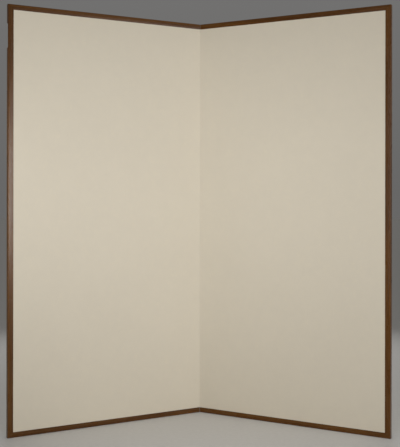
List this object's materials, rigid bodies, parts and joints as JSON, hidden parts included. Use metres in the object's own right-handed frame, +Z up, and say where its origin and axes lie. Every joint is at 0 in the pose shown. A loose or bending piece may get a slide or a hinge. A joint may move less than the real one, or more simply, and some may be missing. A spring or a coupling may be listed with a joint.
{
  "type": "two-panel folding screen",
  "caption": "Free-standing folding screen that stands in a V: papered lattice panels, a thin varnished wood frame on the outer edges and paper hinges at the fold.",
  "frame": {"origin": "centre of the bottom of the screen's box as it stands in its V", "axes": "+Z up, +X to the right and +Y towards the fold, as seen from inside the V"},
  "size_m": [1.5314, 0.4286, 1.72],
  "materials": {
    "cover_paper": "matte",
    "lining_paper": "matte",
    "hinge_paper": "matte",
    "frame_wood": "satin",
    "core_wood": "matte",
    "steel_nail": "satin"
  },
  "bodies": {
    "left_panel": {"left_core_hinge_stile": "core_wood", "left_core_outer_stile": "core_wood", "left_core_top_rail": "core_wood", "left_core_bottom_rail": "core_wood", "left_core_upright_strips": "core_wood", "left_core_cross_strips": "core_wood", "left_core_corner_blocks": "core_wood", "left_core_corner_pins": "steel_nail", "left_front_lining": "lining_paper", "left_back_lining": "lining_paper", "left_front_cover": "cover_paper", "left_back_cover": "cover_paper", "left_fold_edge_paper": "hinge_paper", "left_front_hinge_leaves": "hinge_paper", "left_back_hinge_leaves": "hinge_paper", "left_top_rail": "frame_wood", "left_bottom_rail": "frame_wood", "left_outer_stile": "frame_wood", "left_frame_nails": "steel_nail", "left_mitre_keys": "core_wood"},
    "right_panel": {"right_core_hinge_stile": "core_wood", "right_core_outer_stile": "core_wood", "right_core_top_rail": "core_wood", "right_core_bottom_rail": "core_wood", "right_core_upright_strips": "core_wood", "right_core_cross_strips": "core_wood", "right_core_corner_blocks": "core_wood", "right_core_corner_pins": "steel_nail", "right_front_lining": "lining_paper", "right_back_lining": "lining_paper", "right_front_cover": "cover_paper", "right_back_cover": "cover_paper", "right_fold_edge_paper": "hinge_paper", "right_front_hinge_leaves": "hinge_paper", "right_back_hinge_leaves": "hinge_paper", "right_top_rail": "frame_wood", "right_bottom_rail": "frame_wood", "right_outer_stile": "frame_wood", "right_frame_nails": "steel_nail", "right_mitre_keys": "core_wood"},
    "front_link": {"fold_strips_left_front": "hinge_paper"},
    "back_link": {"fold_strips_left_back": "hinge_paper"}
  },
  "joints": [
    {"name": "front_fold", "type": "hinge", "parent": "front_link", "child": "left_panel", "pos_m": [0, 0.19527, 0], "axis": [0, 0, -1], "range_deg": [-123, 57]},
    {"name": "back_fold", "type": "hinge", "parent": "front_link", "child": "right_panel", "pos_m": [0.01031, 0.21425, 0], "axis": [0, 0, 1], "range_deg": [0, 180], "deforming": ["fold_strips_left_back"]},
    {"name": "back_strip_turn", "type": "hinge", "parent": "left_panel", "child": "back_link", "pos_m": [-0.01031, 0.21425, 0], "axis": [0, 0, 1], "range_deg": [0, 180]}
  ],
  "couplings": [
    {"joint": "back_strip_turn", "follows": "back_fold", "ratio": 1}
  ]
}
